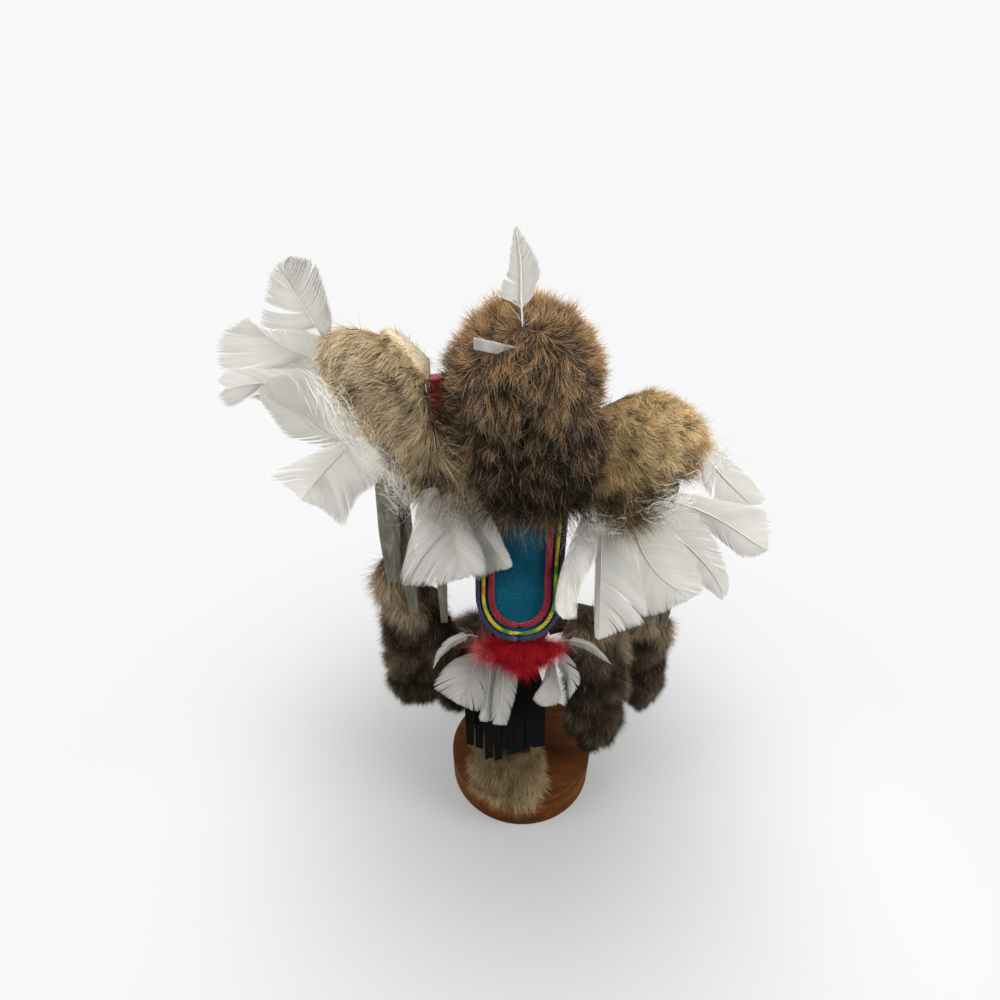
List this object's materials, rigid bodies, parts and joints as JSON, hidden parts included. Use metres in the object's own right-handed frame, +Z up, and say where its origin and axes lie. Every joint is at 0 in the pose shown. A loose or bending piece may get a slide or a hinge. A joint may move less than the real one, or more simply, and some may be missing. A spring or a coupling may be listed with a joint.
{
  "type": "kachina doll",
  "caption": "Carved wooden bird-dancer doll on a round base, dressed in fur pelts, white feathers, a felt panel, suede fringe and leather thongs.",
  "frame": {"origin": "centre of the round base's underside", "axes": "+Z up; the doll faces -Y with its back to +Y, and its own left side is +X"},
  "size_m": [0.2476, 0.0904, 0.3136],
  "materials": {
    "lacquered_wood": "lacquered, glossy",
    "painted_wood": "matt paint",
    "mask_paint": "matt paint",
    "beak_paint": "satin paint",
    "eye_paint": "gloss paint",
    "ear_paint": "matt paint",
    "hood_fur": "long-haired pelt",
    "wing_fur": "long-haired pelt",
    "dark_fur": "plush pelt",
    "pale_fur": "plush pelt",
    "white_feather": "feather",
    "red_down": "down",
    "teal_felt": "felt",
    "red_ribbon": "flat yarn",
    "yellow_yarn": "twisted yarn",
    "edge_yarn": "twisted yarn",
    "black_suede": "suede",
    "red_suede": "suede",
    "olive_leather": "rough leather"
  },
  "bodies": {
    "root": {"base_disc": "lacquered_wood", "torso": "painted_wood", "left_leg": "painted_wood", "right_leg": "painted_wood", "left_arm": "painted_wood", "right_arm": "painted_wood", "head": "mask_paint", "beak": "beak_paint", "left_eye": "eye_paint", "right_eye": "eye_paint", "left_ear": "ear_paint", "right_ear": "ear_paint", "hood": "hood_fur", "left_wing_pelt": "wing_fur", "right_wing_pelt": "wing_fur", "left_legging": "dark_fur", "right_legging": "dark_fur", "left_fur_bundle": "dark_fur", "right_fur_bundle": "dark_fur", "left_boot": "pale_fur", "crown_feather": "white_feather", "crown_quill": "white_feather", "tail_feather_1": "white_feather", "tail_feather_2": "white_feather", "tail_feather_3": "white_feather", "tail_feather_4": "white_feather", "tail_feather_5": "white_feather", "tail_feather_6": "white_feather", "tail_feather_7": "white_feather", "left_feather_1": "white_feather", "left_feather_2": "white_feather", "left_feather_3": "white_feather", "left_feather_4": "white_feather", "left_feather_5": "white_feather", "left_feather_6": "white_feather", "left_feather_7": "white_feather", "right_feather_1": "white_feather", "right_feather_2": "white_feather", "right_feather_3": "white_feather", "right_feather_4": "white_feather", "right_feather_5": "white_feather", "right_feather_6": "white_feather", "tail_tuft": "red_down", "back_panel": "teal_felt", "front_panel": "teal_felt", "back_panel_red_ribbon": "red_ribbon", "front_panel_red_ribbon": "red_ribbon", "back_panel_yellow_yarn": "yellow_yarn", "front_panel_yellow_yarn": "yellow_yarn", "back_panel_edge_yarn": "edge_yarn", "front_panel_edge_yarn": "edge_yarn", "fringe_black": "black_suede", "fringe_red_strip": "red_suede", "hip_sash": "red_suede", "left_thong_1": "olive_leather", "left_thong_2": "olive_leather", "left_thong_3": "olive_leather", "right_thong_1": "olive_leather", "right_thong_2": "olive_leather", "right_thong_3": "olive_leather"}
  },
  "joints": []
}
